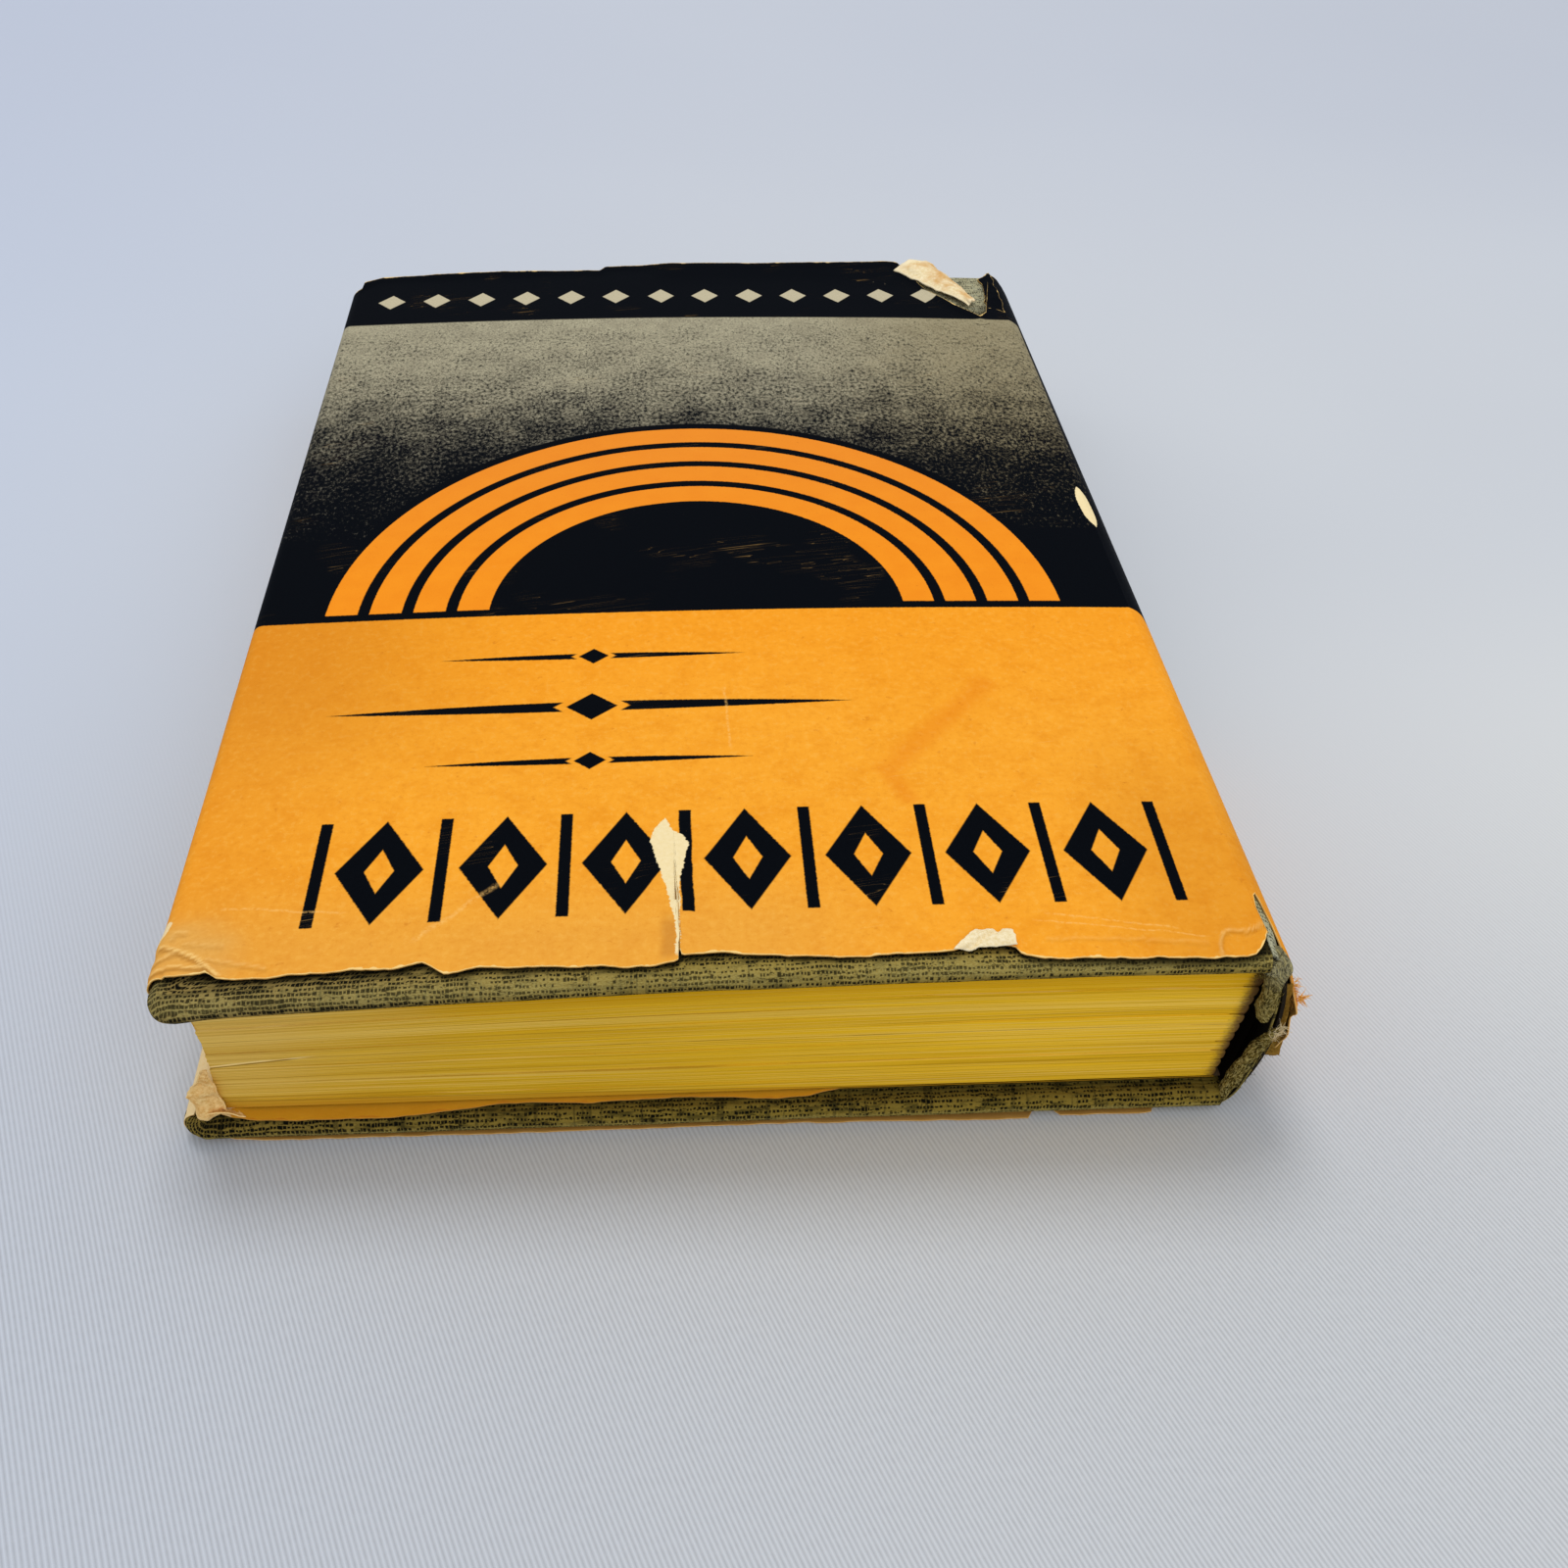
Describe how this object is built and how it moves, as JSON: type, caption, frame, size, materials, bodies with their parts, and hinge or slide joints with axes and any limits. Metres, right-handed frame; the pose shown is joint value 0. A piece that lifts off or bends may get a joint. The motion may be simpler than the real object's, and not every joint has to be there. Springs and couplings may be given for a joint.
{
  "type": "hardcover book",
  "caption": "Worn cloth-bound hardcover book in a torn printed paper jacket, with two covers that open on cloth joints.",
  "frame": {"origin": "middle of the back cover, on the face that the book lies on", "axes": "+X from the fore-edge to the spine, +Y from the head to the tail of the book, +Z from the back cover to the front cover"},
  "size_m": [0.1449, 0.2069, 0.0322],
  "materials": {
    "board": "matt grey-brown bookbinding board",
    "cloth": "khaki book cloth with a fine broken black dash weave",
    "endpaper": "matt aged cream endpaper",
    "pages": "matt page edges, stained yellow at the head",
    "mull": "open glued gauze",
    "lining": "matt brown kraft paper",
    "thread": "natural linen thread",
    "inlay": "matt card",
    "jacket_paper": "matt uncoated paper printed orange, with bare cream fibres at its tears",
    "dark_ink": "dull black ink on paper",
    "stipple_ink": "stippled pale grey that fades into black",
    "orange_ink": "dull orange ink on paper",
    "pale_ink": "bare cream paper between black ink",
    "bare_paper": "bare cream paper fibres"
  },
  "bodies": {
    "pages": {"text_block": "pages", "front_flyleaf": "endpaper", "back_flyleaf": "endpaper", "spine_mull": "mull", "spine_lining": "lining", "sewing_thread": "thread", "spine_cloth": "cloth", "spine_inlay": "inlay", "jacket_spine": "jacket_paper", "spine_dark_field": "dark_ink"},
    "front_cover": {"front_board": "board", "front_cloth": "cloth", "front_pastedown": "endpaper", "jacket_front": "jacket_paper", "dark_field": "dark_ink", "stipple_field": "stipple_ink", "arches": "orange_ink", "frieze": "dark_ink", "rules": "dark_ink", "pale_row": "pale_ink", "skinned_patch": "bare_paper", "curled_chip": "bare_paper", "tail_curl": "bare_paper"},
    "back_cover": {"back_board": "board", "back_cloth": "cloth", "back_pastedown": "endpaper", "jacket_back": "jacket_paper"}
  },
  "joints": [
    {"name": "front_joint", "type": "hinge", "parent": "pages", "child": "front_cover", "pos_m": [0.0697, 0, 0.03099], "axis": [0, 1, 0], "range_deg": [0, 180]},
    {"name": "back_joint", "type": "hinge", "parent": "pages", "child": "back_cover", "pos_m": [0.0697, 0, -0.00015], "axis": [0, -1, 0], "range_deg": [0, 180]}
  ]
}
